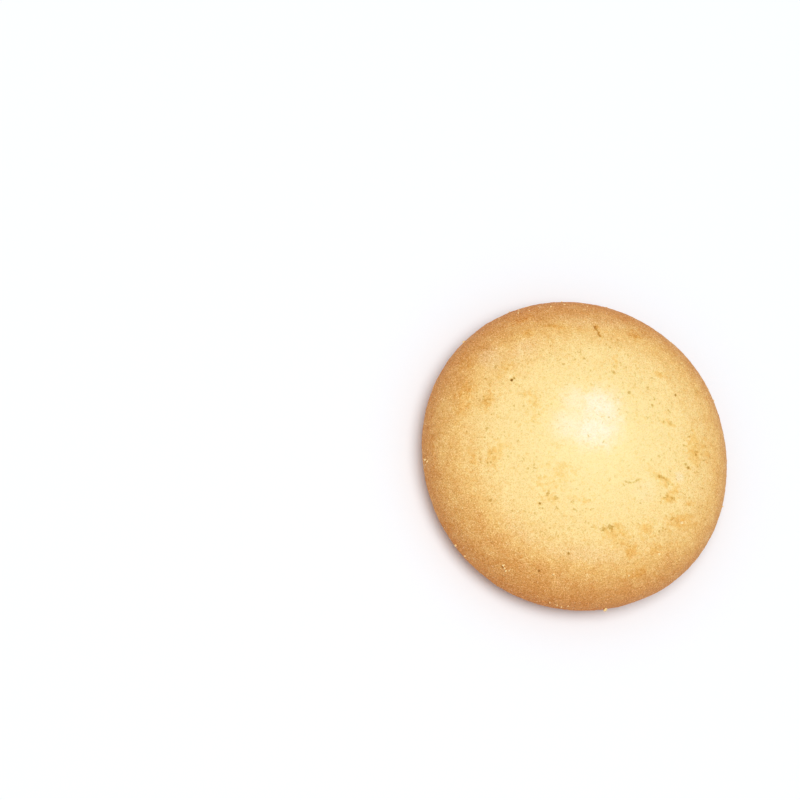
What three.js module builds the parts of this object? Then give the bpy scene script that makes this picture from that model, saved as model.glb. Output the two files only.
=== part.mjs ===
// A plain round biscuit baked from one drop of dough: a full, pillow-shaped dome
// that bulges out over a narrower flat underside.
// Millimetres, +Z up, with the origin at the middle of the underside.

import * as THREE from "three";

// Driving dimensions
const DIAMETER = 60; // across the widest section
const HEIGHT = 17.4; // from the underside to the crown
const WIDEST_HEIGHT = 4.8; // of the widest section above the underside
const BASE_DIAMETER = 48; // of the flat underside

// Fullness of the dome's section: 2 and 2 make an ellipse, higher powers a fuller pillow
const CROWN_POWER = 3.1;
const SHOULDER_POWER = 2.15;

// Unevenness of the outline: waves round the rim, each with its height and the bearing of a crest in degrees
const RIM_WAVES = [
  { count: 2, height: 0.06, bearing: 10 },
  { count: 4, height: 0.1, bearing: 45 },
  { count: 5, height: 0.05, bearing: 28 },
];

// Unevenness of the top: low swells and hollows by turns, set out on a spiral from the crown
const SWELL_COUNT = 16;
const SWELL_HEIGHT = 0.2;
const SWELL_RADIUS = 5;

// How finely the surface is divided
const SECTORS = 80;
const DOME_RINGS = 24;
const FOOT_RINGS = 7;

const RADIUS = DIAMETER / 2;
const BASE_RADIUS = BASE_DIAMETER / 2;
const GOLDEN_ANGLE = Math.PI * (3 - Math.sqrt(5));

// The foot's half section, which curls out from the underside to the widest point
function footCurve() {
  const overhang = RADIUS - BASE_RADIUS;
  return new THREE.EllipseCurve(BASE_RADIUS, WIDEST_HEIGHT, overhang, WIDEST_HEIGHT, -Math.PI / 2, 0);
}

// The dome's half section, from the widest point up to the crown
class DomeCurve extends THREE.Curve {
  getPoint(t, target = new THREE.Vector2()) {
    const turn = (t * Math.PI) / 2;
    const across = Math.max(Math.cos(turn), 0) ** (2 / CROWN_POWER);
    const up = Math.sin(turn) ** (2 / SHOULDER_POWER);
    return target.set(RADIUS * across, WIDEST_HEIGHT + (HEIGHT - WIDEST_HEIGHT) * up);
  }
}

// The whole half section, from the middle of the underside over the rim to the crown
function halfSection() {
  const underside = new THREE.Vector2(0, 0);
  const crown = new THREE.Vector2(0, HEIGHT);
  return [
    underside,
    ...footCurve().getSpacedPoints(FOOT_RINGS),
    ...new DomeCurve().getSpacedPoints(DOME_RINGS).slice(1, -1),
    crown,
  ];
}

// How far the outline stands out of round at a bearing
function rimWave(bearing) {
  return RIM_WAVES.reduce((sum, wave) => {
    const crest = THREE.MathUtils.degToRad(wave.bearing);
    return sum + wave.height * Math.cos(wave.count * (bearing - crest));
  }, 0);
}

// How far the top rises or sinks at a place
function swell(x, y) {
  let rise = 0;
  for (let i = 0; i < SWELL_COUNT; i += 1) {
    const reach = RADIUS * Math.sqrt((i + 0.5) / SWELL_COUNT);
    const dx = x - reach * Math.cos(i * GOLDEN_ANGLE);
    const dy = y - reach * Math.sin(i * GOLDEN_ANGLE);
    const side = i % 2 === 0 ? 1 : -1;
    rise += side * SWELL_HEIGHT * Math.exp(-(dx * dx + dy * dy) / SWELL_RADIUS ** 2);
  }
  return rise;
}

// Moves each point of the turned body by the waves of the rim and the swells of the top
function bakeUneven(geometry) {
  const places = geometry.attributes.position;
  const point = new THREE.Vector3();
  for (let i = 0; i < places.count; i += 1) {
    point.fromBufferAttribute(places, i);
    const stretch = 1 + rimWave(Math.atan2(point.y, point.x)) / RADIUS;
    const topShare = THREE.MathUtils.smoothstep(point.z, WIDEST_HEIGHT, HEIGHT);
    const rise = topShare * swell(point.x, point.y);
    places.setXYZ(i, point.x * stretch, point.y * stretch, point.z + rise);
  }
}

// Puts the middle of the body's box over the origin
function centreOverOrigin(geometry) {
  geometry.computeBoundingBox();
  const middle = geometry.boundingBox.getCenter(new THREE.Vector3());
  geometry.translate(-middle.x, -middle.y, 0);
}

function makeBiscuit() {
  const geometry = new THREE.LatheGeometry(halfSection(), SECTORS);
  geometry.rotateX(Math.PI / 2);
  bakeUneven(geometry);
  centreOverOrigin(geometry);
  geometry.computeVertexNormals();
  const crust = new THREE.MeshStandardMaterial({ color: 0xeec785, roughness: 0.85, metalness: 0 });
  const biscuit = new THREE.Mesh(geometry, crust);
  biscuit.name = "biscuit";
  return biscuit;
}

const part = new THREE.Group();
part.add(makeBiscuit());

export default part;
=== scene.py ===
"""The looks of a plain round biscuit: its baked crust, the sugar that sticks to it, and a pale stage."""

import math
import random
from types import SimpleNamespace
from typing import NamedTuple

import bmesh
import bpy
import numpy as np
from bpy.props import FloatProperty, FloatVectorProperty, IntProperty, PointerProperty
from mathutils import Matrix, Quaternion, Vector, noise


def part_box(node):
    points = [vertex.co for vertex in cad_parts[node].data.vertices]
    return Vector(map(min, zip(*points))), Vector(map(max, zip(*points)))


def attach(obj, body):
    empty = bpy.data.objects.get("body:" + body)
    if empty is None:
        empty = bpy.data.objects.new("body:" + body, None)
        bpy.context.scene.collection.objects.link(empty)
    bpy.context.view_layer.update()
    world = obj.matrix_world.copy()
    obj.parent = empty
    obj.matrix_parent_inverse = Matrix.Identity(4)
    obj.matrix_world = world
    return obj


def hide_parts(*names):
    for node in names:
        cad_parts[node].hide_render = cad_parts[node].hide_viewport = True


bl_info = {
    "name": "Round biscuit",
    "version": (1, 0, 0),
    "blender": (4, 5, 0),
    "location": "View3D > Sidebar > Biscuit",
    "description": "Bakes the crust of a round biscuit over its solid, sugars it and sets a pale stage",
    "category": "Object",
}

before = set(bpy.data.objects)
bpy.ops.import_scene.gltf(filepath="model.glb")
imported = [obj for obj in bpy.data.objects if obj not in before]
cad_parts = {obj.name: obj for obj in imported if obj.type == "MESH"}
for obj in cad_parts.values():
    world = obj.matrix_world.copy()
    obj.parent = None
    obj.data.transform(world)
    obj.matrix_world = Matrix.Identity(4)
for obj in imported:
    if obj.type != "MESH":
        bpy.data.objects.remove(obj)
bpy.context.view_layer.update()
SOLID_LOW, SOLID_HIGH = (Vector(corner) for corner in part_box("biscuit"))
SOLID_SIZE = SOLID_HIGH - SOLID_LOW

MM = 0.001
GOLDEN_ANGLE = math.pi * (3 - math.sqrt(5))


# Unevenness of the form and of the baking


class Roughness(NamedTuple):
    """A noise over the crust: width of its lumps in mm, number of finer layers, shift of its pattern."""

    size: float
    layers: int
    shift: float


# Waves round the rim, as count, height in mm and bearing of a crest in degrees
RIM_WAVES = ((2, 0.06, 10), (4, 0.10, 45), (5, 0.05, 28))

# Where the dough has spread a little further: bearing and half width in degrees, height in mm
BULGE_BEARING = -28
BULGE_HALF_WIDTH = 26
BULGE_HEIGHT = 0.36

# Low swells and hollows by turns, on a spiral from the crown, in mm
SWELL_COUNT = 16
SWELL_HEIGHT = 0.2
SWELL_RADIUS = 5.0

# Lumps, sandy grain and mottling, with how fast finer layers fade and how much finer each layer is
LUMP_NOISE = Roughness(5.0, 3, 0.0)
GRAIN_NOISE = Roughness(0.7, 2, 31.0)
MOTTLE_NOISE = Roughness(1.5, 4, 57.0)
LAYER_FADE = 0.8
LAYER_STEP = 2.1

# Waves of the browning round the rim, partly uneven baking and partly painted shade, browner towards north
# and south and paler towards east and west, as count, mm that it creeps in and bearing of a crest in
# degrees, and the stretch of the way from the crown, in mm, over which these waves grow
BROWNING_AND_SHADE_WAVES = ((1, 0.7, 100), (2, 1.5, 90), (3, 0.25, 15))
BAKE_STRETCH = (8, 26)
FLANK_BROWNING_AND_SHADE_WAVES = ((1, 1.1, 60), (2, 0.7, 90))
FLANK_STRETCH = (26, 31)

# How far the browning creeps in over the lumps and the mottling, in mm
LUMP_CREEP = 0.7
MOTTLE_CREEP = 0.4

# Way over which the flank turns into the underside, in mm
UNDERSIDE_BLEND = 1.5

# How finely the crust is divided: faces along each edge of the cube that is blown up into it,
# the share of the way from pole to pole that the dome takes, and steps along each curve of the section
FACES_PER_EDGE = 128
DOME_SHARE = 0.66
SECTION_STEPS = 3000


# Marks on the crust


class Mark(NamedTuple):
    """A mark, in mm and degrees, placed as if the crust were peeled off the top and laid flat."""

    x: float
    y: float
    half_length: float
    half_width: float
    bearing: float
    strength: float


def spot(x, y, radius, strength):
    """A round mark."""
    return Mark(x, y, radius, radius, 0, strength)


class Edge(NamedTuple):
    """How marks fade out: where they begin and are full, with 1 at their own size, and how raggedly."""

    begins: float
    full: float
    ragged: float


SOFT_EDGE = Edge(1.7, 0.2, 0.3)
PATCH_EDGE = Edge(1.9, 0.3, 0.6)
STROKE_EDGE = Edge(1.5, 0.3, 0.35)
PORE_EDGE = Edge(1.5, 0.3, 0.3)
PIT_EDGE = Edge(1.5, 0.3, 0.2)

# The pale crown, where five spots run together, partly less-baked dough and partly a painted highlight
# where the dome faces the light, and some fainter pale spots further out
PALE_AND_HIGHLIGHT_SPOTS = (
    Mark(0.8, 6.6, 3.8, 3.2, 15, 0.64),
    Mark(0.0, 2.2, 4.4, 3.4, 10, 0.66),
    spot(2.8, 4.8, 2.4, 0.50),
    spot(-5.2, 2.5, 2.8, 0.42),
    spot(-3.6, 7.6, 2.6, 0.34),
    Mark(-1.5, -21.8, 7.0, 1.7, -4, 0.08),
    Mark(-13.8, -18.4, 4.0, 1.5, 143, 0.06),
    Mark(-13.4, 17.6, 3.2, 1.8, 38, 0.09),
    Mark(0.5, 24.6, 7.0, 1.6, 0, 0.05),
    spot(-19.5, 16.0, 2.2, 0.10),
    spot(17.0, -5.5, 0.8, 0.30),
    spot(10.0, -8.5, 2.0, 0.10),
)

# Patches that have toasted to ochre
OCHRE_PATCHES = (
    Mark(-20.5, 7.0, 2.0, 0.9, 80, 0.45),
    Mark(-24.5, 16.0, 2.0, 1.3, 60, 0.30),
    Mark(-25.0, 8.0, 3.0, 1.4, 80, 0.35),
    Mark(-16.5, 14.0, 1.8, 1.2, 40, 0.25),
    Mark(-11.5, 6.0, 2.8, 1.3, 75, 0.28),
    Mark(-12.7, 8.4, 1.0, 0.6, 20, 0.36),
    Mark(-19.0, -3.6, 2.2, 1.3, 80, 0.36),
    Mark(-23.0, -5.0, 1.6, 1.0, 90, 0.30),
    Mark(-12.0, 21.5, 1.2, 0.8, 20, 0.40),
    Mark(-12.0, 25.5, 2.4, 0.7, 28, 0.45),
    Mark(-6.5, 23.0, 1.8, 0.6, -8, 0.45),
    Mark(9.5, 22.5, 1.5, 1.0, -25, 0.40),
    Mark(4.5, 15.5, 1.6, 0.5, 80, 0.35),
    Mark(14.0, 14.2, 1.4, 0.6, -10, 0.36),
    Mark(15.0, 4.5, 1.3, 0.6, -15, 0.40),
    Mark(20.5, 0.5, 2.8, 1.4, 95, 0.48),
    Mark(23.0, 0.6, 2.0, 1.2, 90, 0.30),
    Mark(15.3, -9.6, 1.6, 0.8, 10, 0.50),
    Mark(16.2, -8.3, 1.4, 0.6, 70, 0.42),
    Mark(13.4, -6.1, 2.0, 0.7, -25, 0.42),
    Mark(19.5, -10.0, 1.0, 0.7, 0, 0.35),
    Mark(17.6, -13.8, 2.4, 1.3, 10, 0.42),
    Mark(-7.5, -6.0, 2.8, 1.8, -20, 0.22),
    Mark(-8.5, -11.5, 1.6, 1.0, -30, 0.30),
    Mark(-9.0, -8.6, 2.2, 1.3, -20, 0.26),
    Mark(-2.5, -11.5, 1.8, 0.5, -5, 0.30),
    Mark(4.4, -17.6, 2.8, 1.8, -15, 0.40),
    Mark(10.5, -16.0, 1.6, 1.4, 60, 0.45),
    Mark(8.0, -20.5, 1.4, 1.0, 80, 0.50),
    Mark(12.5, -19.5, 1.4, 1.1, 20, 0.35),
    Mark(10.5, -24.5, 1.8, 0.9, 20, 0.45),
    Mark(-29.5, -18.5, 1.4, 1.0, 30, 0.40),
)

# Where the browning has crept further over the shoulder, with mm as strength
BROWNED_SHOULDERS = (
    Mark(-16.4, -21.7, 5.0, 1.6, 143, 1.4),
    Mark(-22.3, -15.6, 5.0, 1.6, 125, 1.4),
    Mark(-8.3, -25.5, 4.0, 1.4, 162, 0.8),
    Mark(15.8, -21.0, 3.0, 1.6, 37, 1.5),
)

# Short dark strokes and spots
DARK_STROKES = (
    Mark(12.9, -5.8, 1.1, 0.38, -10, 0.80),
    Mark(14.4, -6.6, 1.0, 0.36, -50, 0.70),
    Mark(3.2, -16.4, 0.9, 0.50, 15, 0.95),
    Mark(2.0, -16.9, 0.6, 0.50, -10, 0.90),
    Mark(6.6, -7.5, 0.9, 0.34, -15, 0.80),
    Mark(8.1, -7.1, 1.2, 0.32, 32, 0.66),
    Mark(-20.7, 7.0, 0.8, 0.60, 60, 0.60),
    Mark(-7.8, 23.1, 0.9, 0.50, 10, 0.65),
    Mark(15.4, 4.7, 0.8, 0.50, 30, 0.60),
    Mark(-4.1, -13.5, 0.7, 0.42, -15, 0.70),
    Mark(-9.1, -10.7, 0.8, 0.42, 70, 0.72),
    spot(-7.5, -11.4, 0.55, 0.66),
    spot(-10.6, -12.7, 0.40, 0.60),
    spot(-6.3, -14.3, 0.45, 0.55),
    spot(-4.3, -11.9, 0.50, 0.70),
    spot(-0.9, -11.8, 0.40, 0.52),
    spot(-17.7, -4.7, 0.40, 0.58),
    spot(-5.7, 23.4, 0.55, 0.56),
    spot(-4.3, 23.0, 0.45, 0.56),
    spot(-12.1, 21.2, 0.55, 0.60),
    spot(22.4, -0.5, 0.45, 0.60),
    Mark(15.6, -9.8, 0.9, 0.60, 60, 0.60),
    Mark(20.9, -0.2, 0.9, 0.60, 80, 0.55),
    Mark(-16.0, -12.4, 0.9, 0.45, 20, 0.45),
    Mark(-15.7, 11.1, 0.8, 0.60, 40, 0.50),
    Mark(-18.7, 13.9, 0.6, 0.40, 60, 0.85),
    spot(-13.7, 5.8, 0.40, 0.85),
    spot(-5.9, 14.6, 0.40, 0.85),
    spot(-1.7, 16.1, 0.35, 0.80),
    Mark(4.2, 13.8, 0.7, 0.40, -20, 0.85),
    Mark(7.1, 10.0, 0.6, 0.45, 80, 0.75),
    spot(11.0, 11.3, 0.40, 0.85),
    spot(11.7, 7.7, 0.35, 0.85),
    spot(22.0, 12.3, 0.50, 0.80),
    Mark(15.1, 7.1, 0.8, 0.32, -60, 0.75),
)

# Single pits in the top
PITS = (
    spot(-15.9, 11.0, 0.25, 1.60),
    spot(-15.4, 11.4, 0.20, 0.85),
    spot(16.7, 10.5, 0.24, 0.85),
    spot(-4.6, -21.8, 0.28, 0.80),
    spot(-9.9, -25.5, 0.28, 0.80),
    spot(-17.1, -25.5, 0.24, 0.60),
    spot(19.5, 2.6, 0.24, 0.45),
    spot(21.0, -0.8, 0.28, 0.50),
    Mark(19.1, -3.5, 0.40, 0.26, -10, 0.65),
    spot(13.9, 4.8, 0.22, 0.40),
    Mark(-20.0, -12.4, 0.40, 0.24, 20, 0.50),
    spot(-10.6, -12.6, 0.24, 0.70),
    spot(-10.0, -13.5, 0.24, 0.40),
    spot(2.8, 4.7, 0.22, 0.35),
    spot(0.2, 4.2, 0.22, 0.25),
    Mark(1.6, -0.2, 0.35, 0.18, 70, 0.35),
)

# The short bent slit near the rim, and how many times as wide its raised lips are
SLIT = (
    Mark(1.45, 23.3, 1.0, 0.42, -68, 1.0),
    Mark(1.85, 21.9, 1.0, 0.38, -80, 0.9),
)
LIP_WIDENING = 2

# Small pores strewn over the top, some in clusters, in mm
PORE_COUNT = 170
PORE_SEED = 7
PORE_CLUSTERS = (1, 1, 1, 3, 6)
PORE_CLUSTER_SPREAD = 0.8
PORE_HALF_LENGTHS = (0.3, 0.7)
PORE_HALF_WIDTHS = (0.25, 0.4)
PORE_STRENGTHS = (0.2, 0.6)

# Round pores that bubbles have left in the underside, in mm
BUBBLE_COUNT = 190
BUBBLE_SEED = 23
BUBBLE_RADII = (0.3, 0.9)
BUBBLE_STRENGTHS = (0.3, 1.0)

# Depth or height of the marks, in mm
PATCH_RISE = 0.04
PIT_DEPTH = 0.15
PORE_DEPTH = 0.045
STROKE_DEPTH = 0.03
SLIT_DEPTH = 0.30
LIP_RISE = 0.10
BUBBLE_DEPTH = 0.25

# How toasted the slit's lips are, and how dark the slit and the underside's pores are, beside a full mark
LIP_TOAST = 0.3
SLIT_DARKNESS = 0.15
BUBBLE_DARKNESS = 0.5


# Sugar


class Grain(NamedTuple):
    """A grain of sugar: way along the crust from the crown in mm, bearing in degrees, width in mm."""

    along: float
    bearing: float
    width: float


# Grains that stand out
SINGLE_GRAINS = (
    Grain(35.0, 186, 0.58),
    Grain(34.2, 187, 0.50),
    Grain(36.0, 219, 0.54),
    Grain(36.0, 224, 0.42),
    Grain(30.2, 236, 0.62),
    Grain(30.6, 237, 0.52),
    Grain(30.9, 238, 0.50),
    Grain(30.4, 239, 0.44),
    Grain(23.0, 322, 0.85),
    Grain(24.8, 304, 0.62),
    Grain(26.6, 288, 0.54),
    Grain(35.5, 281, 1.00),
    Grain(27.0, 255, 0.50),
    Grain(25.6, 269, 0.48),
    Grain(34.4, 262, 0.44),
    Grain(34.8, 264, 0.40),
    Grain(34.1, 266, 0.36),
    Grain(34.0, 259, 0.38),
    Grain(30.4, 97, 0.36),
    Grain(29.9, 103, 0.40),
    Grain(30.6, 107, 0.34),
    Grain(30.1, 112, 0.42),
    Grain(30.8, 116, 0.36),
)

# Where small grains are scattered: least, greatest and commonest way along the crust, in mm
SCATTER_BAND = (22, 42, 34)

# Coarser sugar in clusters on one side of the flank: bearing of its middle and its spread in degrees,
# way along the crust, widths and spread of a cluster in mm
COARSE_BEARING = 55
COARSE_SPREAD = 42
COARSE_BAND = (33.0, 39.5)
COARSE_WIDTHS = (0.20, 0.48)
COARSE_CLUSTERS = (1, 1, 2, 4)
CLUSTER_SPREAD = 0.6

# Form of a grain: corners, unevenness of its widths, and share of its width that its middle stands out
GRAIN_CORNERS = 14
GRAIN_UNEVENNESS = (0.7, 1.1)
GRAIN_LIFT = 0.25

# Power of a random draw that makes most sizes small and few large
FEW_LARGE = 3


# Finish


class Speckle(NamedTuple):
    """A fine noise in a finish: width of its grains in mm, and number of finer layers."""

    size: float
    detail: float


class Fade(NamedTuple):
    """How one number follows another: low at start, high at end, straight between and held beyond."""

    start: float
    end: float
    low: float = 0.0
    high: float = 1.0


# Noises
FINE_GRAIN = Speckle(0.4, 3.0)
SANDY_GRAIN = Speckle(0.8, 3.0)
CLOUDS = Speckle(2.4, 4.0)
FLECK_CLUMPS = Speckle(4.0, 2.0)
SCRATCH_LINES = Speckle(1.6, 1.0)
SCRATCH_BREAKS = Speckle(1.12, 1.0)
BLOTCHES = Speckle(6.0, 3.0)
SUGAR_CLOUDS = Speckle(0.3, 1.0)
SPECKLE_ROUGHNESS = 0.6
NOISE_MIDDLE = 0.5

# How places wander to make crumbs uneven: width of a bend and its reach, in mm
DRIFT_SIZE = 1.2
DRIFT_REACH = 0.4

# Cells that hold crumbs, flecks and glints: their width in mm, the share of them that is filled,
# and how strongly glints show
DARK_CRUMB_SIZE = 0.24
BRIGHT_CRUMB_SIZE = 0.22
FLECK_SIZE = 0.6
FLECK_SHARE = 0.25
GLINT_SIZE = 0.34
GLINT_SHARE = 0.5
GLINT_STRENGTH = 0.5

# How crumbs and granules fall off from a cell's middle, strength of the faintest crumb, and mean of all
CRUMB_FORM = Fade(0.6, 0.2)
GRANULE_FORM = Fade(0.5, 0.2)
FAINTEST_CRUMB = 0.3
CRUMB_MEAN = 0.23

# Browning, which is 0 on the crown and 1 at the edge of the underside, at which each colour is reached,
# how clouds shift it, and where the flank begins and is complete
BROWNING_STOPS = {"straw": 0.10, "butter": 0.42, "golden": 0.56, "tan": 0.67, "brown": 0.82, "foot": 0.98}
CLOUD_BROWNING = 0.12
FLANK = Fade(0.45, 0.80)

# Toasted patches, strokes and pores: thickness of stain by strength of mark, and how grain breaks it up
TOAST_STAIN = Fade(0.08, 0.65, 0.0, 0.55)
TOAST_BREAKING = 1.4
STROKE_STAIN = Fade(0.40, 0.85, 0.0, 0.65)
STROKE_BREAKING = 1.3
PORE_STAIN = Fade(0.1, 1.7, 0.0, 4.0)

# Flecks and scratches: thickness of their stain, how flecks gather, how fine and broken scratches are,
# and where both thin out
FLECK_STAIN = 0.7
FLECKS_IN_CLUMPS = Fade(0.40, 0.65, 0.25, 1.0)
FLECKS_OFF_CROWN = Fade(0.15, 0.40, 0.15, 1.0)
FLECKS_ON_FLANK = Fade(0.0, 1.0, 1.0, 0.3)
SCRATCH_LINE = Fade(0.035, 0.0)
SCRATCH_KEPT = Fade(0.61, 0.70)
SCRATCHES_OFF_CROWN = Fade(0.10, 0.30, 0.2, 1.0)
SCRATCHES_OFF_FLANK = Fade(0.60, 0.45)

# Brown skin between the crumbs: what makes it uneven, how it thickens with the browning,
# and how the baking sheet has pressed and blotched it
DARK_CRUMB_SKIN = Fade(0.0, 1.0, 1.1, 0.6)
BRIGHT_CRUMB_SKIN = Fade(0.35, 0.60, 0.0, -0.9)
SANDY_SKIN = 0.5
CLOUD_SKIN = 0.4
SKIN_GROWTH = Fade(0.0, 0.8)
SKIN_POWER = 2.7
SKIN_DEPTH = Fade(0.0, 1.0, 0.10, 1.06)
PRESSED = Fade(0.0, 1.0, 1.0, 0.45)
BLOTCH_STAIN = Fade(0.35, 0.65, -0.35, 0.45)

# Bumps of the grain: share of each kind, strength of all, and height in mm
SANDY_BUMP = 1.2
FINE_BUMP = 0.6
CRUMB_BUMP = 0.4
GLINT_BUMP = 0.5
BUMP_STRENGTH = 0.7
BUMP_HEIGHT = 0.14

# Roughness by the fine grain of the crust and by the clouds in the sugar, and how dark these clouds are
CRUST_ROUGHNESS = Fade(-0.2, 0.2, 0.72, 0.90)
SUGAR_ROUGHNESS = Fade(0.3, 0.7, 0.2, 0.4)
SUGAR_SHADE = 0.95


# Places and sizes of the stage, in metres

KEY_PLACE = Vector((-0.06, -0.05, 1.05))
FLOOR_DROP = 0.05 * MM

# How the photo frames the biscuit: width of the frame and middle of the outline in pixels, its scale,
# and the height of the place on the biscuit's axis that is seen at that middle
FRAME_PIXELS = 800
OUTLINE_MIDDLE = (574.6, 456.7)
PIXELS_PER_MM = 5.303
OUTLINE_MIDDLE_HEIGHT = 5.25 * MM

# The camera's sensor in mm, and the nearest and farthest that it sees
SENSOR_WIDTH = 36.0
NEAREST = 0.01
FARTHEST = 20.0


# Settings


def from_screen(red, green, blue):
    """Turns an 8-bit screen colour into the linear colour that shaders work in."""
    shares = (red / 255, green / 255, blue / 255)
    return tuple(c / 12.92 if c <= 0.04045 else ((c + 0.055) / 1.055) ** 2.4 for c in shares)


def length(name, description, default):
    """A length property, in metres."""
    options = {"default": default, "min": 0.0, "unit": "LENGTH", "precision": 5}
    return FloatProperty(name=name, description=description, **options)


def angle(name, description, degrees):
    """An angle property, given in degrees."""
    return FloatProperty(name=name, description=description, default=math.radians(degrees), subtype="ANGLE")


def amount(name, description, default, **options):
    """A plain number property."""
    return FloatProperty(name=name, description=description, default=default, min=0.0, **options)


def whole(name, description, default):
    """A whole number property."""
    return IntProperty(name=name, description=description, default=default, min=0)


def colour(name, description, screen):
    """A colour property, given as an 8-bit screen colour."""
    options = {"default": from_screen(*screen), "min": 0.0, "max": 1.0, "subtype": "COLOR"}
    return FloatVectorProperty(name=name, description=description, **options)


class BiscuitShape(bpy.types.PropertyGroup):
    """Sizes of the biscuit. Its width and height come from its solid."""

    diameter: length("Diameter", "Across the widest section", max(SOLID_SIZE.xy))
    height: length("Height", "From the underside to the crown", SOLID_SIZE.z)
    widest_height: length("Widest height", "Height of the widest section above the underside", 4.8 * MM)
    base_diameter: length("Base diameter", "Across the flat underside", 48 * MM)
    crown_power: amount("Crown power", "Fullness of the crown, where 2 is an ellipse", 3.1)
    shoulder_power: amount("Shoulder power", "Fullness of the shoulder, where 2 is an ellipse", 2.15)
    lump_height: length("Lump height", "Height of the soft lumps in the dough", 0.07 * MM)
    grain_height: length("Grain height", "Height of the sandy grain", 0.06 * MM)
    inset: length("Inset", "Room for the crust's grain inside the solid's box", 0.12 * MM)


class CrustFinish(bpy.types.PropertyGroup):
    """Colours of the baked crust, from the pale crown to the brown foot."""

    # The pale colour paints the less-baked crown and a highlight on it.
    pale: colour("Pale crown", "Least baked spot on the crown", (253, 244, 224))
    straw: colour("Straw face", "Middle of the top", (247, 227, 163))
    butter: colour("Butter face", "Outer part of the top", (244, 213, 144))
    golden: colour("Golden shoulder", "Where the top turns down", (235, 188, 111))
    tan: colour("Tan flank", "Upper part of the flank", (218, 155, 81))
    brown: colour("Brown rim", "The widest section", (208, 127, 46))
    foot: colour("Foot", "Where the crust curls under", (190, 102, 32))
    underside: colour("Underside", "The flat face that was baked on the sheet", (200, 138, 72))
    skin: colour("Skin", "Tint of the brown skin between the crumbs", (199, 166, 111))
    toast: colour("Toast", "Tint of the toasted patches", (241, 206, 143))
    fleck: colour("Fleck", "Tint of strokes, flecks, pits and pores", (203, 184, 132))
    crumb: colour("Crumb", "Bright granules on the flank", (247, 210, 146))


class SugarFinish(bpy.types.PropertyGroup):
    """Grains of sugar that stick to the crust."""

    count: whole("Count", "Grains scattered round the flank", 200)
    smallest: length("Smallest", "Width of the smallest scattered grain", 0.10 * MM)
    largest: length("Largest", "Width of the largest scattered grain", 0.26 * MM)
    coarse_count: whole("Coarse count", "Coarser grains, in clusters", 90)
    seed: whole("Seed", "Seed of the random scatter", 11)
    white: colour("Sugar", "Colour of the grains", (255, 222, 158))


class StageSettings(bpy.types.PropertyGroup):
    """Floor, lights and camera."""

    floor: colour("Floor", "Colour of the floor", (244, 247, 251))
    floor_width: length("Floor width", "Width of the floor", 3.0)
    sky: amount("Sky", "Strength of the even white light from all round", 0.55)
    key: amount("Key light", "Power of the soft light above", 6.7, unit="POWER")
    key_width: length("Key width", "Width of the soft light above", 0.7)
    azimuth: angle("Azimuth", "Bearing that the camera looks from", -51.0)
    elevation: angle("Elevation", "How steeply the camera looks down", 67.1)
    distance: length("Camera distance", "From the biscuit to the camera", 1.2)


# Form of the crust, in mm


class Section(NamedTuple):
    """The half section, sampled evenly from the crown over the rim to the middle of the underside."""

    along: np.ndarray
    radius: np.ndarray
    height: np.ndarray
    rim: float
    base_edge: float

    def at(self, values, along):
        """One of the section's values at each way along it."""
        return np.interp(along, self.along, values)


def half_section(shape):
    """Works out the half section: a dome between two powers, an elliptic foot and a flat underside."""
    radius = shape.diameter / MM / 2
    base_radius = shape.base_diameter / MM / 2
    height = shape.height / MM
    widest = shape.widest_height / MM
    turn = np.linspace(0, math.pi / 2, SECTION_STEPS)
    dome_r = radius * np.sin(turn) ** (2 / shape.crown_power)
    dome_z = widest + (height - widest) * np.clip(np.cos(turn), 0, 1) ** (2 / shape.shoulder_power)
    foot_r = base_radius + (radius - base_radius) * np.cos(turn)
    foot_z = widest - widest * np.sin(turn)
    r = np.concatenate([dome_r, foot_r[1:], [0.0]])
    z = np.concatenate([dome_z, foot_z[1:], [0.0]])
    along = np.concatenate([[0.0], np.cumsum(np.hypot(np.diff(r), np.diff(z)))])
    rim = along[SECTION_STEPS - 1]
    base_edge = along[-2]
    even = np.linspace(0, along[-1], 2 * SECTION_STEPS)
    return Section(even, np.interp(even, along, r), np.interp(even, along, z), rim, base_edge)


def finished_mesh(form, name):
    """Turns a form that has been worked on into a mesh."""
    mesh = bpy.data.meshes.new(name)
    form.to_mesh(mesh)
    form.free()
    return mesh


def blown_up_cube(faces_per_edge):
    """A cube divided into even faces and blown up into a ball: a mesh of quads with no poles."""
    ball = bmesh.new()
    bmesh.ops.create_cube(ball, size=2)
    bmesh.ops.subdivide_edges(ball, edges=ball.edges[:], cuts=faces_per_edge - 1, use_grid_fill=True)
    for vertex in ball.verts:
        vertex.co = Vector(math.tan(c * math.pi / 4) for c in vertex.co).normalized()
    return finished_mesh(ball, "biscuit_crust")


def vertex_places(mesh):
    """The mesh's vertices as an array."""
    places = np.empty(len(mesh.vertices) * 3)
    mesh.vertices.foreach_get("co", places)
    return places.reshape(-1, 3)


def smooth_step(low, high, value):
    """0 at low, 1 at high, and smooth between them."""
    share = np.clip((value - low) / (high - low), 0, 1)
    return share * share * (3 - 2 * share)


def waves(parts, bearing):
    """The sum of waves round the rim at each bearing."""
    return sum(height * np.cos(count * (bearing - math.radians(crest))) for count, height, crest in parts)


def bulge(bearing):
    """How far the rim stands out at each bearing where the dough has spread further."""
    off = (np.degrees(bearing) - BULGE_BEARING + 180) % 360 - 180
    return BULGE_HEIGHT * np.exp(-((off / BULGE_HALF_WIDTH) ** 2))


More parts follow.
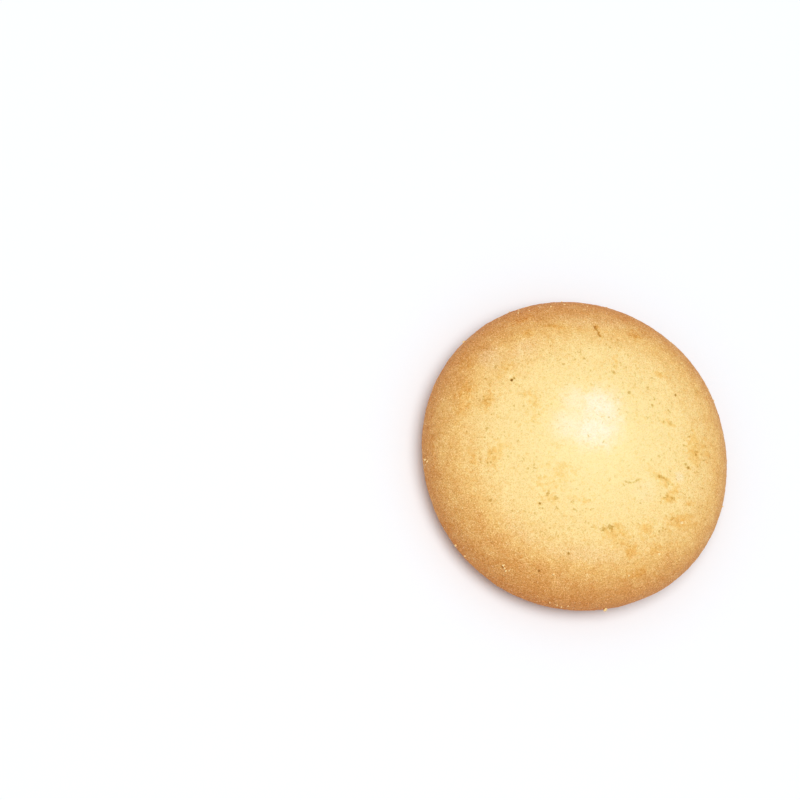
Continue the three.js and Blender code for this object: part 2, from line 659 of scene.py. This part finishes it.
def swell(x, y, radius):
    """How far the top rises or sinks at each place."""
    rise = np.zeros_like(x)
    for i in range(SWELL_COUNT):
        out = radius * math.sqrt((i + 0.5) / SWELL_COUNT)
        dx = x - out * math.cos(i * GOLDEN_ANGLE)
        dy = y - out * math.sin(i * GOLDEN_ANGLE)
        side = 1 if i % 2 == 0 else -1
        rise += side * SWELL_HEIGHT * np.exp(-(dx * dx + dy * dy) / SWELL_RADIUS**2)
    return rise


def fit_inside(places, low, high):
    """Fits the box of the places to a given box."""
    now_low, now_high = places.min(0), places.max(0)
    return low + (places - now_low) * (high - low) / (now_high - now_low)


class Crust(NamedTuple):
    """The crust's vertices: place and outward direction, way along the section and bearing."""

    place: np.ndarray
    outward: np.ndarray
    along: np.ndarray
    bearing: np.ndarray
    section: Section


def lay_crust(directions, shape):
    """Lays the ball's vertices on the biscuit's uneven form, just inside the solid's box."""
    section = half_section(shape)
    share = np.arccos(np.clip(directions[:, 2], -1, 1)) / math.pi
    along = np.interp(share, [0, DOME_SHARE, 1], [0, section.rim, section.along[-1]])
    bearing = np.arctan2(directions[:, 1], directions[:, 0])
    r = section.at(section.radius, along)
    z = section.at(section.height, along)
    run = section.at(np.gradient(section.radius, section.along), along)
    fall = section.at(np.gradient(section.height, section.along), along)
    outward = np.stack([-fall * np.cos(bearing), -fall * np.sin(bearing), run], -1)
    outward /= np.linalg.norm(outward, axis=1, keepdims=True)
    radius = shape.diameter / MM / 2
    stretch = 1 + (waves(RIM_WAVES, bearing) + bulge(bearing)) / radius
    x, y = r * np.cos(bearing), r * np.sin(bearing)
    top = smooth_step(shape.widest_height / MM, shape.height / MM, z)
    place = np.stack([x * stretch, y * stretch, z + top * swell(x, y, radius)], -1)
    inset = shape.inset / MM
    low = np.array(SOLID_LOW) / MM + (inset, inset, 0)
    high = np.array(SOLID_HIGH) / MM - inset
    return Crust(fit_inside(place, low, high), outward, along, bearing, section)


# Relief and browning of the crust, in mm


def fractal(places, rough):
    """Rough noise of about -1 to 1 at each place."""
    shift = Vector((rough.shift, -rough.shift, rough.shift / 2))
    spread = (Vector(place) / rough.size + shift for place in places)
    return np.array([noise.fractal(place, LAYER_FADE, LAYER_STEP, rough.layers) for place in spread])


def peeled(crust):
    """Where each vertex lies when the crust is peeled off the top and laid flat."""
    return crust.along * np.cos(crust.bearing), crust.along * np.sin(crust.bearing)


def reach(flat, mark):
    """How far each flat place lies from the middle of a mark, where 1 is the mark's own size."""
    turn = math.radians(mark.bearing)
    dx = flat[0] - mark.x
    dy = flat[1] - mark.y
    far = (dx * math.cos(turn) + dy * math.sin(turn)) / mark.half_length
    aside = (dy * math.cos(turn) - dx * math.sin(turn)) / mark.half_width
    return np.hypot(far, aside)


def ragged_marks(flat, marks, edge, rough):
    """Strength of marks at each flat place, the strongest where they overlap. rough makes edges ragged."""
    wander = edge.ragged * rough
    strength = np.zeros_like(rough)
    for mark in marks:
        share = smooth_step(edge.begins, edge.full, reach(flat, mark) + wander)
        strength = np.maximum(strength, mark.strength * share)
    return strength


def strewn_pores(rim):
    """Small pores and short scratches strewn over the top, some of them in clusters."""
    draw = random.Random(PORE_SEED)
    pores = []
    while len(pores) < PORE_COUNT:
        along = rim * math.sqrt(draw.random())
        bearing = draw.uniform(-math.pi, math.pi)
        x, y = along * math.cos(bearing), along * math.sin(bearing)
        cluster = draw.choice(PORE_CLUSTERS)
        spread = 0.0 if cluster == 1 else PORE_CLUSTER_SPREAD
        for _ in range(cluster):
            halves = (draw.uniform(*PORE_HALF_LENGTHS), draw.uniform(*PORE_HALF_WIDTHS))
            place = (x + draw.gauss(0, spread), y + draw.gauss(0, spread))
            pores.append(Mark(*place, *halves, draw.uniform(0, 180), draw.uniform(*PORE_STRENGTHS)))
    return pores


def strewn_bubbles(radius):
    """Round pores strewn over the underside, where bubbles were trapped against the baking sheet."""
    draw = random.Random(BUBBLE_SEED)
    smallest, largest = BUBBLE_RADII
    pores = []
    for _ in range(BUBBLE_COUNT):
        out = radius * math.sqrt(draw.random())
        bearing = draw.uniform(-math.pi, math.pi)
        size = smallest + (largest - smallest) * draw.random() ** FEW_LARGE
        strength = draw.uniform(*BUBBLE_STRENGTHS)
        pores.append(spot(out * math.cos(bearing), out * math.sin(bearing), size, strength))
    return pores


def find_features(crust, shape):
    """What each vertex bears: noises of about -1 to 1, marks that they make ragged, and 1 if underside."""
    base_edge = crust.section.base_edge
    on_top = crust.along < base_edge
    under = smooth_step(base_edge - UNDERSIDE_BLEND, base_edge, crust.along)
    lumps = fractal(crust.place, LUMP_NOISE)
    grain = fractal(crust.place, GRAIN_NOISE)
    mottle = fractal(crust.place, MOTTLE_NOISE)
    flat = peeled(crust)
    below = crust.place.T[:2]
    lips = [part._replace(half_width=LIP_WIDENING * part.half_width) for part in SLIT]
    return SimpleNamespace(
        lumps=lumps,
        grain=grain,
        mottle=mottle,
        # pale: the less-baked crown with a painted highlight on it
        pale=ragged_marks(flat, PALE_AND_HIGHLIGHT_SPOTS, SOFT_EDGE, mottle) * on_top,
        toast=ragged_marks(flat, OCHRE_PATCHES, PATCH_EDGE, mottle) * on_top,
        shoulders=ragged_marks(flat, BROWNED_SHOULDERS, SOFT_EDGE, mottle) * on_top,
        strokes=ragged_marks(flat, DARK_STROKES, STROKE_EDGE, grain) * on_top,
        pits=ragged_marks(flat, PITS, PIT_EDGE, grain) * on_top,
        pores=ragged_marks(flat, strewn_pores(crust.section.rim), PORE_EDGE, grain) * on_top,
        slit=ragged_marks(flat, SLIT, STROKE_EDGE, grain),
        lips=ragged_marks(flat, lips, STROKE_EDGE, grain),
        bubbles=ragged_marks(below, strewn_bubbles(shape.base_diameter / MM / 2), PORE_EDGE, grain) * under,
        under=under,
    )


def relief(crust, has, shape):
    """Where each vertex lies once the crust has its lumps, grain and marks, inside the solid's box."""
    lump_height = shape.lump_height / MM
    grain_height = shape.grain_height / MM
    out = has.lumps * lump_height + has.grain * grain_height + PATCH_RISE * has.toast
    out -= PIT_DEPTH * has.pits + STROKE_DEPTH * has.strokes + PORE_DEPTH * has.pores
    out += LIP_RISE * has.lips - (SLIT_DEPTH + LIP_RISE) * has.slit
    sunk = np.abs(has.lumps) * lump_height + np.abs(has.grain) * grain_height
    sunk += BUBBLE_DEPTH * has.bubbles
    out = out * (1 - has.under) - sunk * has.under
    place = crust.place + crust.outward * out[:, None]
    return np.clip(place, np.array(SOLID_LOW) / MM, np.array(SOLID_HIGH) / MM)


def browning(crust, has):
    """How far each vertex is browned, with painted shade from the waves round the rim: about 0 on the crown
    and 1 at the edge of the underside.
    """
    creep_and_shade = waves(BROWNING_AND_SHADE_WAVES, crust.bearing) * smooth_step(*BAKE_STRETCH, crust.along)
    creep_and_shade += waves(FLANK_BROWNING_AND_SHADE_WAVES, crust.bearing) * smooth_step(*FLANK_STRETCH, crust.along)
    creep_and_shade += has.shoulders + LUMP_CREEP * has.lumps + MOTTLE_CREEP * has.mottle
    return (crust.along + creep_and_shade) / crust.section.base_edge


def store(mesh, name, values):
    """Keeps one number for each vertex, for the material to read."""
    mesh.attributes.new(name, "FLOAT", "POINT").data.foreach_set("value", values.astype(np.float32))


def add_object(context, name, data):
    """Adds an object to the scene."""
    made = bpy.data.objects.new(name, data)
    context.scene.collection.objects.link(made)
    return made


def add_piece(context, name, mesh):
    """Adds a piece of the biscuit, and lets it ride on the biscuit's body."""
    piece = add_object(context, name, mesh)
    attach(piece, "root")
    return piece


class BakeCrust(bpy.types.Operator):
    """Bakes the crust over the biscuit's solid, with its relief and its colours"""

    bl_idname = "biscuit.bake_crust"
    bl_label = "Bake crust"

    def execute(self, context):
        shape = context.scene.biscuit_shape
        mesh = blown_up_cube(FACES_PER_EDGE)
        crust = lay_crust(vertex_places(mesh), shape)
        has = find_features(crust, shape)
        mesh.vertices.foreach_set("co", (relief(crust, has, shape) * MM).ravel())
        mesh.shade_smooth()
        holes = [has.pits, SLIT_DARKNESS * has.slit, BUBBLE_DARKNESS * has.bubbles]
        # browned holds painted shade round the rim as well as the baking
        store(mesh, "browned", browning(crust, has))
        # pale holds the less-baked crown and a painted highlight on it
        store(mesh, "pale", has.pale)
        store(mesh, "toast", np.maximum(has.toast, LIP_TOAST * has.lips))
        store(mesh, "stroke", np.maximum.reduce([has.strokes, has.pores, has.slit]))
        store(mesh, "pore", np.maximum.reduce(holes))
        store(mesh, "under", has.under)
        mesh.materials.append(crust_material(context.scene.biscuit_crust))
        body = add_piece(context, "biscuit_crust", mesh)
        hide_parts("biscuit")
        return {"FINISHED"}


# Grains of sugar


def scattered_grains(sugar):
    """Small grains scattered round the flank."""
    draw = random.Random(sugar.seed)
    spread = sugar.largest / sugar.smallest
    grains = []
    for _ in range(sugar.count):
        along = draw.triangular(*SCATTER_BAND)
        width = sugar.smallest / MM * spread ** (draw.random() ** FEW_LARGE)
        grains.append(Grain(along, draw.uniform(-180, 180), width))
    return grains


def clustered_grains(sugar, radius):
    """Coarser grains in clusters on one side of the flank."""
    draw = random.Random(sugar.seed + 2)
    grains = []
    while len(grains) < sugar.coarse_count:
        along = draw.uniform(*COARSE_BAND)
        bearing = draw.gauss(COARSE_BEARING, COARSE_SPREAD)
        for _ in range(draw.choice(COARSE_CLUSTERS)):
            down, aside = draw.gauss(0, CLUSTER_SPREAD), draw.gauss(0, CLUSTER_SPREAD)
            turned = bearing + math.degrees(aside / radius)
            grains.append(Grain(along + down, turned, draw.uniform(*COARSE_WIDTHS)))
    return grains


def stuck_place(body, section, grain):
    """Where a grain meets the crust, and the crust's outward direction there."""
    r = section.at(section.radius, grain.along)
    z = section.at(section.height, grain.along)
    bearing = math.radians(grain.bearing)
    place = Vector((r * math.cos(bearing), r * math.sin(bearing), z)) * MM
    found, place, outward, _ = body.closest_point_on_mesh(place)
    if not found:
        raise RuntimeError("a grain of sugar found no crust to stick to")
    return place, outward


def random_way(draw):
    """A vector that points anywhere."""
    return Vector([draw.gauss(0, 1) for _ in range(3)])


def add_grain(grains, draw, middle, width):
    """Adds one blunt grain: the hull of some points on an uneven ball."""
    turn = Quaternion(random_way(draw), draw.uniform(0, math.tau))
    half = Vector(draw.uniform(*GRAIN_UNEVENNESS) * width / 2 for _ in range(3))
    corners = []
    for _ in range(GRAIN_CORNERS):
        corner = random_way(draw).normalized() * half
        corners.append(grains.verts.new(middle + turn @ corner))
    bmesh.ops.convex_hull(grains, input=corners)


class StickSugar(bpy.types.Operator):
    """Sticks grains of sugar to the flank of the baked crust"""

    bl_idname = "biscuit.stick_sugar"
    bl_label = "Stick sugar"

    def execute(self, context):
        sugar = context.scene.biscuit_sugar
        shape = context.scene.biscuit_shape
        body = context.scene.objects["biscuit_crust"]
        context.view_layer.update()
        section = half_section(shape)
        draw = random.Random(sugar.seed + 1)
        clusters = clustered_grains(sugar, shape.diameter / MM / 2)
        grains = bmesh.new()
        for grain in (*SINGLE_GRAINS, *scattered_grains(sugar), *clusters):
            place, outward = stuck_place(body, section, grain)
            add_grain(grains, draw, place + outward * grain.width * GRAIN_LIFT * MM, grain.width * MM)
        for corner in grains.verts:
            corner.co = np.clip(corner.co, SOLID_LOW, SOLID_HIGH)
        mesh = finished_mesh(grains, "sugar_grains")
        mesh.materials.append(sugar_material(sugar))
        add_piece(context, "sugar_grains", mesh)
        return {"FINISHED"}


# Tools for materials

# Sockets of a mix node that mixes colours: share, first colour, second colour and result
MIX_SHARE, MIX_FIRST, MIX_SECOND, MIX_RESULT = 0, 6, 7, 2


def new_material(name):
    """An empty node material and its tree."""
    material = bpy.data.materials.new(name)
    material.use_nodes = True
    material.node_tree.nodes.clear()
    return material, material.node_tree


def add_node(tree, kind, inputs=None, **options):
    """Adds a shader node, and sets or links its inputs."""
    made = tree.nodes.new(kind)
    for name, value in options.items():
        setattr(made, name, value)
    for key, value in (inputs or {}).items():
        socket = made.inputs[key]
        if isinstance(value, bpy.types.NodeSocket):
            tree.links.new(value, socket)
        else:
            socket.default_value = value
    return made


def add_surface(tree, settings):
    """Adds the surface shader with these settings, and the material's output."""
    shader = add_node(tree, "ShaderNodeBsdfPrincipled", settings)
    add_node(tree, "ShaderNodeOutputMaterial", {"Surface": shader.outputs[0]})


def object_places(tree):
    """Places on the object."""
    return add_node(tree, "ShaderNodeTexCoord").outputs["Object"]


def attribute(tree, name):
    """The number that the mesh keeps under this name."""
    return add_node(tree, "ShaderNodeAttribute", attribute_name=name).outputs["Fac"]


def calculated(tree, operation, first, second=0.0, third=0.0):
    """The result of one calculation with numbers."""
    inputs = {0: first, 1: second, 2: third}
    return add_node(tree, "ShaderNodeMath", inputs, operation=operation).outputs[0]


def product(tree, first, *others):
    """The product of some numbers."""
    for other in others:
        first = calculated(tree, "MULTIPLY", first, other)
    return first


def weighed(tree, *parts):
    """The sum of some numbers, each times its weight."""
    total = 0.0
    for number, weight in parts:
        total = calculated(tree, "MULTIPLY_ADD", number, weight, total)
    return total


def faded(tree, number, fade):
    """The number that follows another one as the fade says."""
    inputs = {"Value": number, "From Min": fade.start, "From Max": fade.end}
    inputs |= {"To Min": fade.low, "To Max": fade.high}
    return add_node(tree, "ShaderNodeMapRange", inputs).outputs[0]


def vectors(tree, operation, *inputs):
    """The result of one calculation with places or colours."""
    return add_node(tree, "ShaderNodeVectorMath", dict(enumerate(inputs)), operation=operation).outputs[0]


def opaque(rgb):
    """A colour with full alpha."""
    return (*rgb, 1.0)


def mixed(tree, share, first, second):
    """A colour between two colours."""
    inputs = {MIX_SHARE: share, MIX_FIRST: first, MIX_SECOND: second}
    return add_node(tree, "ShaderNodeMix", inputs, data_type="RGBA").outputs[MIX_RESULT]


def stained(tree, rgb, stain, thickness):
    """A colour seen through a stain of some thickness, as through a thin skin. Below zero it brightens."""
    film = add_node(tree, "ShaderNodeGamma", {"Color": opaque(stain), "Gamma": thickness}).outputs[0]
    return vectors(tree, "MULTIPLY", rgb, film)


def ramp(tree, number, stops):
    """A colour ramp of (place, colour) stops."""
    made = add_node(tree, "ShaderNodeValToRGB", {"Fac": number})
    elements = made.color_ramp.elements
    while len(elements) < len(stops):
        elements.new(1.0)
    for element, (where, rgb) in zip(elements, stops):
        element.position = where
        element.color = opaque(rgb)
    return made.outputs["Color"]


def speckle(tree, place, kind):
    """A noise from 0 to 1."""
    inputs = {"Vector": place, "Scale": 1 / (kind.size * MM)}
    inputs |= {"Detail": kind.detail, "Roughness": SPECKLE_ROUGHNESS}
    return add_node(tree, "ShaderNodeTexNoise", inputs).outputs["Fac"]


def ripple(tree, place, kind):
    """A noise about zero."""
    return calculated(tree, "SUBTRACT", speckle(tree, place, kind), NOISE_MIDDLE)


def wandering(tree, place):
    """Places that wander a little, so that what is drawn there is uneven."""
    inputs = {"Vector": place, "Scale": 1 / (DRIFT_SIZE * MM), "Detail": 1.0}
    drift = add_node(tree, "ShaderNodeTexNoise", inputs).outputs["Color"]
    centred = vectors(tree, "SUBTRACT", drift, (NOISE_MIDDLE,) * 3)
    return vectors(tree, "MULTIPLY_ADD", centred, (DRIFT_REACH * MM,) * 3, place)


def cells(tree, place, size):
    """Cells that a surface is divided into: a number from 0 to 1 for each, and the way from its middle."""
    made = add_node(tree, "ShaderNodeTexVoronoi", {"Vector": place, "Scale": 1 / (size * MM)})
    number = add_node(tree, "ShaderNodeSeparateColor", {"Color": made.outputs["Color"]}).outputs["Red"]
    return number, made.outputs["Distance"]


def granules(tree, place, size, share):
    """Small round granules in a share of the cells: up to 1 in the middle, 0 between them."""
    number, distance = cells(tree, place, size)
    return product(tree, faded(tree, distance, GRANULE_FORM), faded(tree, number, Fade(share, 0.0)))


def crumbs(tree, place, size):
    """Round crumbs of uneven strength in all cells, with a mean of about zero."""
    number, distance = cells(tree, place, size)
    strength = calculated(tree, "ADD", number, FAINTEST_CRUMB)
    formed = product(tree, faded(tree, distance, CRUMB_FORM), strength)
    return calculated(tree, "SUBTRACT", formed, CRUMB_MEAN)


def scratches(tree, place):
    """Short fine scratches: stretches of the lines where a noise keeps its middle value."""
    off_line = calculated(tree, "ABSOLUTE", ripple(tree, place, SCRATCH_LINES))
    kept = faded(tree, speckle(tree, place, SCRATCH_BREAKS), SCRATCH_KEPT)
    return product(tree, faded(tree, off_line, SCRATCH_LINE), kept)


# Materials


def crust_ground(tree):
    """What the parts of the crust's finish are drawn from. Noises and crumbs have a mean of about zero."""
    place = object_places(tree)
    uneven = wandering(tree, place)
    browned = attribute(tree, "browned")
    flank = faded(tree, browned, FLANK)
    under = attribute(tree, "under")
    return SimpleNamespace(
        place=place,
        uneven=uneven,
        browned=browned,
        flank=flank,
        under=under,
        pressed=faded(tree, under, PRESSED),
        fine=ripple(tree, place, FINE_GRAIN),
        sandy=ripple(tree, place, SANDY_GRAIN),
        clouds=ripple(tree, place, CLOUDS),
        bright_crumbs=crumbs(tree, place, BRIGHT_CRUMB_SIZE),
        glints=product(tree, granules(tree, uneven, GLINT_SIZE, GLINT_SHARE), flank),
    )


def oven_and_painted_light_colour(tree, finish, ground):
    """The colour that the oven gave, by browning, with the pale crown, toasted patches and underside, and
    with a painted highlight on the crown and painted shade in the browning round the rim.
    """
    # The browning brings painted shade round the rim into the ramp.
    shade = weighed(tree, (ground.browned, 1.0), (ground.clouds, CLOUD_BROWNING))
    stops = [(where, getattr(finish, tone)) for tone, where in BROWNING_STOPS.items()]
    baked = ramp(tree, shade, stops)
    # The pale mix paints a highlight on the crown as well as the less-baked dough.
    baked = mixed(tree, attribute(tree, "pale"), baked, opaque(finish.pale))
    toast = weighed(tree, (attribute(tree, "toast"), 1.0), (ground.sandy, TOAST_BREAKING))
    baked = stained(tree, baked, finish.toast, faded(tree, toast, TOAST_STAIN))
    baked = mixed(tree, product(tree, ground.glints, GLINT_STRENGTH), baked, opaque(finish.crumb))
    return mixed(tree, ground.under, baked, opaque(finish.underside))


def mark_stain(tree, ground):
    """Thickness of the stain of flecks, fine scratches, strokes, pits and pores."""
    flecks = product(
        tree,
        granules(tree, ground.uneven, FLECK_SIZE, FLECK_SHARE),
        faded(tree, speckle(tree, ground.place, FLECK_CLUMPS), FLECKS_IN_CLUMPS),
        faded(tree, ground.browned, FLECKS_OFF_CROWN),
        faded(tree, ground.flank, FLECKS_ON_FLANK),
    )
    scored = product(
        tree,
        scratches(tree, ground.place),
        faded(tree, ground.browned, SCRATCHES_OFF_CROWN),
        faded(tree, ground.browned, SCRATCHES_OFF_FLANK),
    )
    broken = weighed(tree, (attribute(tree, "stroke"), 1.0), (ground.fine, STROKE_BREAKING))
    strokes = faded(tree, broken, STROKE_STAIN)
    pores = faded(tree, attribute(tree, "pore"), PORE_STAIN)
    return weighed(tree, (flecks, FLECK_STAIN), (scored, FLECK_STAIN), (strokes, 1.0), (pores, 1.0))


def skin_thickness(tree, ground):
    """Thickness of the brown skin: uneven, thin on the crown, thick on the flank and blotched below."""
    dark_crumbs = crumbs(tree, ground.uneven, DARK_CRUMB_SIZE)
    grain = weighed(
        tree,
        (dark_crumbs, faded(tree, ground.flank, DARK_CRUMB_SKIN)),
        (ground.bright_crumbs, faded(tree, ground.browned, BRIGHT_CRUMB_SKIN)),
        (ground.sandy, SANDY_SKIN),
        (ground.clouds, CLOUD_SKIN),
    )
    growth = calculated(tree, "POWER", faded(tree, ground.browned, SKIN_GROWTH), SKIN_POWER)
    depth = product(tree, faded(tree, growth, SKIN_DEPTH), ground.pressed)
    blotches = faded(tree, speckle(tree, ground.place, BLOTCHES), BLOTCH_STAIN)
    return weighed(tree, (grain, depth), (blotches, ground.under))


def grain_bump(tree, ground):
    """The direction that the crust faces, roughened by its grain, crumbs and glints."""
    height = weighed(
        tree,
        (ground.sandy, SANDY_BUMP),
        (ground.fine, FINE_BUMP),
        (ground.bright_crumbs, product(tree, ground.flank, CRUMB_BUMP)),
        (ground.glints, GLINT_BUMP),
    )
    strength = product(tree, ground.pressed, BUMP_STRENGTH)
    inputs = {"Height": height, "Strength": strength, "Distance": BUMP_HEIGHT * MM}
    return add_node(tree, "ShaderNodeBump", inputs).outputs["Normal"]


def crust_material(finish):
    """Baked crust: browned by its place, stippled by its grain, with toasted patches and pores, a painted
    highlight on the crown and painted shade round the rim.
    """
    material, tree = new_material("baked_crust")
    ground = crust_ground(tree)
    baked = oven_and_painted_light_colour(tree, finish, ground)
    baked = stained(tree, baked, finish.fleck, mark_stain(tree, ground))
    baked = stained(tree, baked, finish.skin, skin_thickness(tree, ground))
    settings = {
        "Base Color": baked,
        "Roughness": faded(tree, ground.fine, CRUST_ROUGHNESS),
        "Normal": grain_bump(tree, ground),
        "Specular IOR Level": 0.3,
        "Subsurface Weight": 0.12,
        "Subsurface Radius": (1.0, 0.6, 0.3),
        "Subsurface Scale": 1.2 * MM,
        "Sheen Weight": 0.06,
        "Sheen Roughness": 0.5,
    }
    add_surface(tree, settings)
    return material


def sugar_material(finish):
    """Bright, slightly glossy sugar."""
    material, tree = new_material("sugar")
    cloud = speckle(tree, object_places(tree), SUGAR_CLOUDS)
    shade = tuple(c * SUGAR_SHADE for c in finish.white)
    settings = {
        "Base Color": mixed(tree, cloud, opaque(shade), opaque(finish.white)),
        "Roughness": faded(tree, cloud, SUGAR_ROUGHNESS),
        "IOR": 1.54,
        "Subsurface Weight": 0.5,
        "Subsurface Radius": (1.0, 1.0, 1.0),
        "Subsurface Scale": 0.06 * MM,
    }
    add_surface(tree, settings)
    return material


def floor_material(rgb):
    """An even matt material for the floor."""
    material, tree = new_material("floor")
    add_surface(tree, {"Base Color": opaque(rgb), "Roughness": 0.9})
    return material


# Stage


def add_floor(context, stage):
    """A wide pale floor just under the biscuit."""
    half = stage.floor_width / 2
    mesh = bpy.data.meshes.new("floor")
    corners = [(-half, -half, 0), (half, -half, 0), (half, half, 0), (-half, half, 0)]
    mesh.from_pydata(corners, [], [(0, 1, 2, 3)])
    mesh.materials.append(floor_material(stage.floor))
    floor = add_object(context, "floor", mesh)
    floor.location.z = -FLOOR_DROP


def view_axes(back):
    """The right and up directions of a view that looks against back, with +Y up in it."""
    right = Vector((0, 1, 0)).cross(back).normalized()
    return right, back.cross(right)


def facing(place, target):
    """The matrix of a lamp or camera at a place that looks at a target."""
    back = (place - target).normalized()
    turned = Matrix((*view_axes(back), back)).transposed().to_4x4()
    return Matrix.Translation(place) @ turned


def add_lights(context, stage):
    """An even white sky and one large soft light above."""
    world = bpy.data.worlds.new("sky")
    world.use_nodes = True
    background = world.node_tree.nodes["Background"]
    background.inputs["Color"].default_value = (1, 1, 1, 1)
    background.inputs["Strength"].default_value = stage.sky
    context.scene.world = world
    lamp = bpy.data.lights.new("key", "AREA")
    lamp.shape = "DISK"
    lamp.size = stage.key_width
    lamp.energy = stage.key
    key = add_object(context, "key", lamp)
    key.matrix_world = facing(KEY_PLACE, Vector((0, 0, 0)))


def add_camera(context, stage):
    """A camera that sees the biscuit as steeply, as large and at the same place as the photo does."""
    flat = math.cos(stage.elevation)
    sideways = Vector((math.sin(stage.azimuth), -math.cos(stage.azimuth), 0)) * flat
    back = sideways + Vector((0, 0, math.sin(stage.elevation)))
    right, up = view_axes(back)
    middle = Vector((0, 0, OUTLINE_MIDDLE_HEIGHT))
    pixel = MM / PIXELS_PER_MM
    aside = (OUTLINE_MIDDLE[0] - FRAME_PIXELS / 2) * pixel
    below = (OUTLINE_MIDDLE[1] - FRAME_PIXELS / 2) * pixel
    lens = bpy.data.cameras.new("camera")
    lens.sensor_width = SENSOR_WIDTH
    lens.lens = SENSOR_WIDTH * stage.distance / (FRAME_PIXELS * pixel)
    lens.clip_start = NEAREST
    lens.clip_end = FARTHEST
    camera = add_object(context, "camera", lens)
    camera.matrix_world = facing(middle + back * stage.distance, middle - right * aside + up * below)
    context.scene.camera = camera


class SetStage(bpy.types.Operator):
    """Sets the floor, the lights and the camera"""

    bl_idname = "biscuit.set_stage"
    bl_label = "Set stage"

    def execute(self, context):
        stage = context.scene.biscuit_stage
        add_floor(context, stage)
        add_lights(context, stage)
        add_camera(context, stage)
        context.scene.view_settings.view_transform = "Standard"
        return {"FINISHED"}


# Add-on

SETTINGS = {
    "biscuit_shape": BiscuitShape,
    "biscuit_crust": CrustFinish,
    "biscuit_sugar": SugarFinish,
    "biscuit_stage": StageSettings,
}
STEPS = (BakeCrust, StickSugar, SetStage)


class BiscuitPanel(bpy.types.Panel):
    """Lists the steps and settings of the biscuit"""

    bl_idname = "VIEW3D_PT_biscuit"
    bl_label = "Round biscuit"
    bl_space_type = "VIEW_3D"
    bl_region_type = "UI"
    bl_category = "Biscuit"

    def draw(self, context):
        for step in STEPS:
            self.layout.operator(step.bl_idname)
        for name, group in SETTINGS.items():
            box = self.layout.box()
            for setting in group.__annotations__:
                box.prop(getattr(context.scene, name), setting)


def register():
    """Registers the classes and hangs the settings on the scene."""
    for name, group in SETTINGS.items():
        bpy.utils.register_class(group)
        setattr(bpy.types.Scene, name, PointerProperty(type=group))
    for step in (*STEPS, BiscuitPanel):
        bpy.utils.register_class(step)


def unregister():
    """Takes the settings and the classes away again."""
    for step in (BiscuitPanel, *reversed(STEPS)):
        bpy.utils.unregister_class(step)
    for name, group in SETTINGS.items():
        delattr(bpy.types.Scene, name)
        bpy.utils.unregister_class(group)


def main():
    """Runs every step in order."""
    register()
    bpy.ops.biscuit.bake_crust()
    bpy.ops.biscuit.stick_sugar()
    bpy.ops.biscuit.set_stage()


if __name__ == "__main__":
    main()
